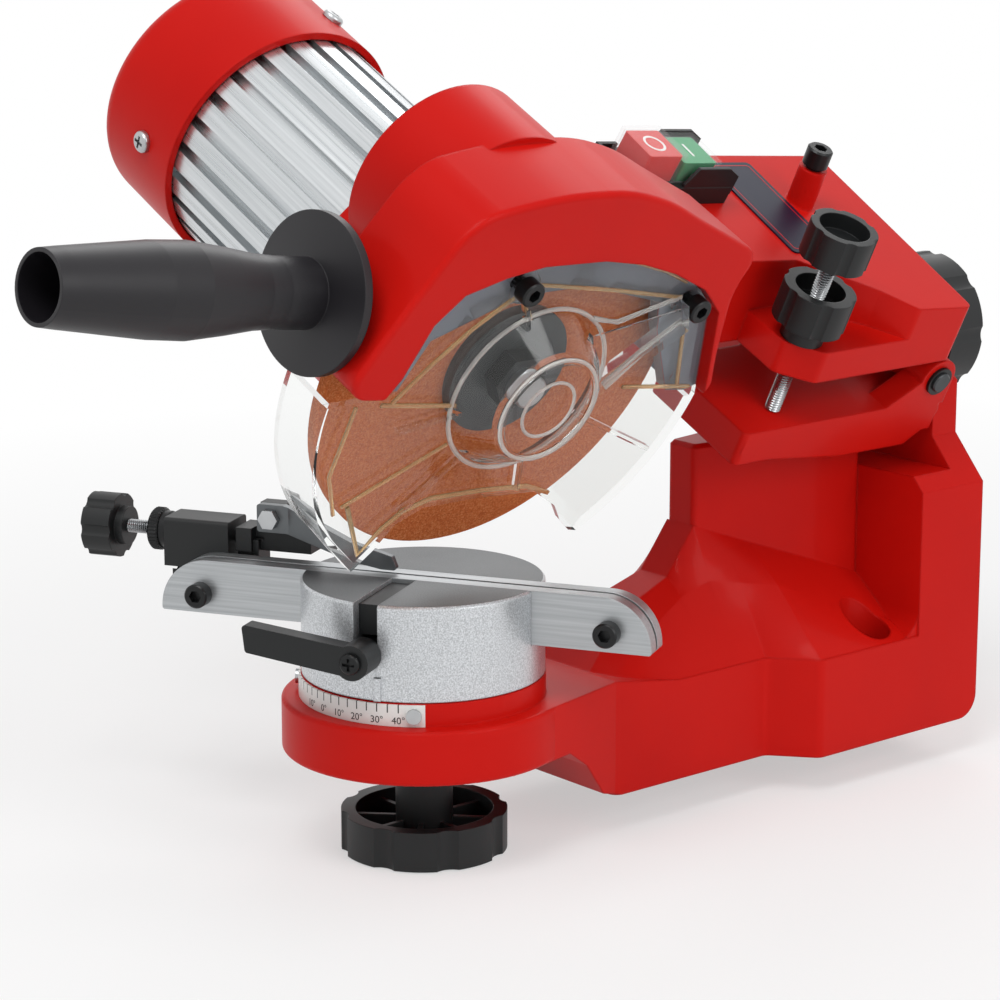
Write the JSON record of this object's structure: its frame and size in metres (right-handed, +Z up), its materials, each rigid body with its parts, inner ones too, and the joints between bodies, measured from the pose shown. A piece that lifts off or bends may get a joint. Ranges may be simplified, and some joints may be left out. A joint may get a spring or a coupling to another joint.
{
  "type": "chainsaw sharpener",
  "caption": "Bench-mounted electric saw chain sharpener: tilting grinding head with clear guard and handle, swivelling chain vise with stop, cast stand.",
  "frame": {"origin": "on the bench face of the stand, midway between the two bench bolt holes", "axes": "+Z up from the bench, +Y away from the operator, +X to the side of the clear guard"},
  "size_m": [0.2348, 0.434, 0.2946],
  "materials": {
    "red_paint": "gloss red enamel",
    "silver_paint": "silver hammer lacquer",
    "bright_steel": "satin",
    "black_steel": "black oxide",
    "aluminium": "extruded",
    "black_plastic": "matte",
    "clear_plastic": "clear",
    "abrasive": "gritty",
    "core_steel": "laminated",
    "copper": "varnished",
    "scale_white": "printed",
    "label_navy": "bare",
    "button_red": "glossy",
    "button_green": "glossy"
  },
  "bodies": {
    "stand": {"stand_casting": "red_paint", "scale_plate": "scale_white", "scale_screws": "bright_steel"},
    "vise": {"vise_body": "silver_paint", "vise_swivel_stud": "bright_steel", "rail_front": "bright_steel", "rail_rear": "bright_steel", "rail_screws": "black_steel", "rail_spacers": "bright_steel", "clamp_plunger": "black_plastic", "stop_holder": "black_plastic"},
    "vise_lock": {"vise_lock_knob": "black_plastic", "vise_lock_nut": "bright_steel"},
    "clamp": {"clamp_lever": "black_plastic", "clamp_shaft": "black_steel", "lever_screw": "bright_steel"},
    "chain_stop": {"stop_slider": "black_plastic", "pawl_bolt": "bright_steel"},
    "stop_screw": {"stop_rod": "bright_steel", "stop_knob": "black_plastic"},
    "stop_nut": {"stop_lock_nut": "black_steel"},
    "pawl": {"stop_pawl": "bright_steel"},
    "tilt": {"tilt_bracket": "red_paint", "tilt_stud": "bright_steel", "hinge_pin": "bright_steel", "hinge_rings": "black_steel", "lift_spring": "black_steel", "tilt_washer": "bright_steel"},
    "tilt_lock": {"tilt_knob": "black_plastic", "tilt_nut": "bright_steel"},
    "head": {"head_casting": "red_paint", "guard": "clear_plastic", "guard_screws": "black_steel", "stator_core": "core_steel", "stator_windings": "copper", "front_bearing": "bright_steel", "rear_bearing": "bright_steel", "motor_housing": "aluminium", "motor_shield": "aluminium", "motor_end_cap": "red_paint", "end_cap_screws": "bright_steel", "cable_gland": "black_plastic", "handle_stud": "bright_steel", "handle_grip": "black_plastic", "switch_frame": "black_plastic", "switch_cover": "clear_plastic", "head_stop_screw": "black_steel", "label_plate": "label_navy"},
    "rotor": {"grinding_disc": "abrasive", "inner_flange": "bright_steel", "outer_flange": "bright_steel", "flange_nut": "black_steel", "motor_shaft": "bright_steel", "rotor_core": "core_steel", "cooling_fan": "black_plastic"},
    "red_button": {"stop_button": "button_red"},
    "green_button": {"start_button": "button_green"},
    "depth_screw": {"depth_rod": "bright_steel"},
    "depth_grip": {"depth_knob": "black_plastic"},
    "depth_lock": {"depth_lock_knob": "black_plastic"}
  },
  "joints": [
    {"name": "vise_swivel", "type": "hinge", "parent": "stand", "child": "vise", "pos_m": [0, -0.1797, 0.083], "axis": [0, 0, 1], "range_deg": [-65, 5]},
    {"name": "vise_lock_turn", "type": "hinge", "parent": "vise", "child": "vise_lock", "pos_m": [0, -0.1797, 0.013], "axis": [0, 0, 1], "range_deg": [0, 360]},
    {"name": "clamp_turn", "type": "hinge", "parent": "vise", "child": "clamp", "pos_m": [0.0201, -0.22352, 0.066], "axis": [-0.5, 0.866, 0], "range_deg": [-30, 15]},
    {"name": "chain_stop_slide", "type": "slide", "parent": "vise", "child": "chain_stop", "axis": [0.866, 0.5, 0], "range_m": [-0.0015, 0.0095]},
    {"name": "stop_screw_turn", "type": "hinge", "parent": "chain_stop", "child": "stop_screw", "pos_m": [-0.10276, -0.22171, 0.0875], "axis": [0.866, 0.5, 0], "continuous": true},
    {"name": "stop_nut_turn", "type": "hinge", "parent": "vise", "child": "stop_nut", "pos_m": [-0.09843, -0.21921, 0.0875], "axis": [0.866, 0.5, 0], "range_deg": [-30, 360]},
    {"name": "pawl_lift", "type": "hinge", "parent": "chain_stop", "child": "pawl", "pos_m": [-0.05808, -0.20111, 0.096], "axis": [0.5, -0.866, 0], "range_deg": [0, 35]},
    {"name": "head_tilt", "type": "hinge", "parent": "stand", "child": "tilt", "pos_m": [0, 0.0425, 0.143], "axis": [0, 1, 0], "range_deg": [-26, 4]},
    {"name": "tilt_lock_turn", "type": "hinge", "parent": "tilt", "child": "tilt_lock", "pos_m": [0, 0.064, 0.143], "axis": [0, -1, 0], "range_deg": [0, 360]},
    {"name": "head_chop", "type": "hinge", "parent": "tilt", "child": "head", "pos_m": [0.00411, 0.0272, 0.15234], "axis": [-0.8988, 0, 0.4384], "range_deg": [0, 30]},
    {"name": "rotor_spin", "type": "hinge", "parent": "head", "child": "rotor", "pos_m": [0.03665, -0.1773, 0.16317], "axis": [0.8988, 0, -0.4384], "continuous": true},
    {"name": "stop_button_press", "type": "slide", "parent": "head", "child": "red_button", "axis": [-0.5063, -0.0962, -0.857], "range_m": [0, 0.002], "stiffness_N_per_m": 400},
    {"name": "start_button_press", "type": "slide", "parent": "head", "child": "green_button", "axis": [-0.5063, -0.0962, -0.857], "range_m": [0, 0.002], "stiffness_N_per_m": 400},
    {"name": "depth_screw_slide", "type": "slide", "parent": "head", "child": "depth_screw", "axis": [0.4384, 0, 0.8988], "range_m": [0, 0.006]},
    {"name": "depth_screw_turn", "type": "hinge", "parent": "depth_screw", "child": "depth_grip", "pos_m": [0.0632, -0.0448, 0.19251], "axis": [0.4384, 0, 0.8988], "continuous": true},
    {"name": "depth_lock_turn", "type": "hinge", "parent": "head", "child": "depth_lock", "pos_m": [0.05092, -0.0448, 0.16734], "axis": [0.4384, 0, 0.8988], "range_deg": [-30, 360]}
  ],
  "couplings": [
    {"joint": "stop_screw_turn", "follows": "chain_stop_slide", "rad_per_m": 7854},
    {"joint": "depth_screw_turn", "follows": "depth_screw_slide", "rad_per_m": 6283.2}
  ]
}
